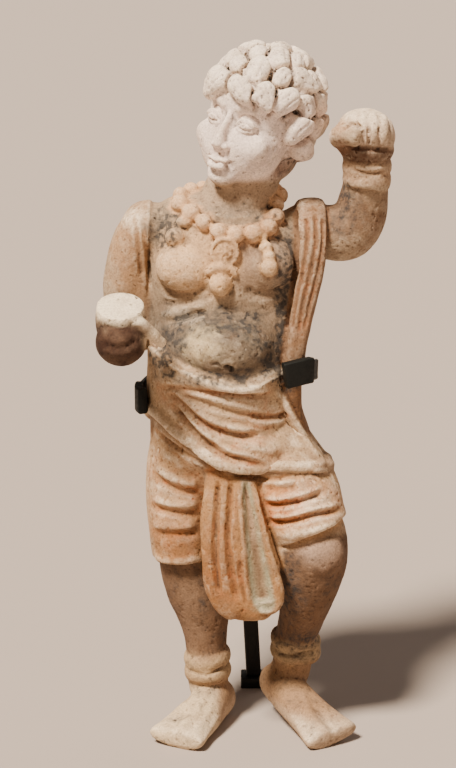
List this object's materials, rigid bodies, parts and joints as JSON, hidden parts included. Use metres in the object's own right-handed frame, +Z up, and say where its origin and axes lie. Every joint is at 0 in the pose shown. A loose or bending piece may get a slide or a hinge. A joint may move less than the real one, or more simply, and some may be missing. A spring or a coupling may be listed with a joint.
{
  "type": "dancer figurine on a museum stand",
  "caption": "Painted fired-clay figurine of a dancer, one arm raised, held up by a black steel rod and cradle stand.",
  "frame": {"origin": "on the floor, under the centre of the whole part's bounding box", "axes": "+Z up along the figure; -Y is the side that the chest faces; +X towards the raised arm"},
  "size_m": [0.1148, 0.0904, 0.2696],
  "materials": {
    "clay": "unglazed fired clay with worn cream slip, orange pigment in the folds and grey soot",
    "black_steel": "matte black paint on steel",
    "black_sleeve": "matte black sleeve"
  },
  "bodies": {
    "root": {"figurine": "clay", "support_rod": "black_steel", "support_foot": "black_steel", "support_band": "black_steel", "left_sleeve": "black_sleeve", "right_sleeve": "black_sleeve"}
  },
  "joints": []
}
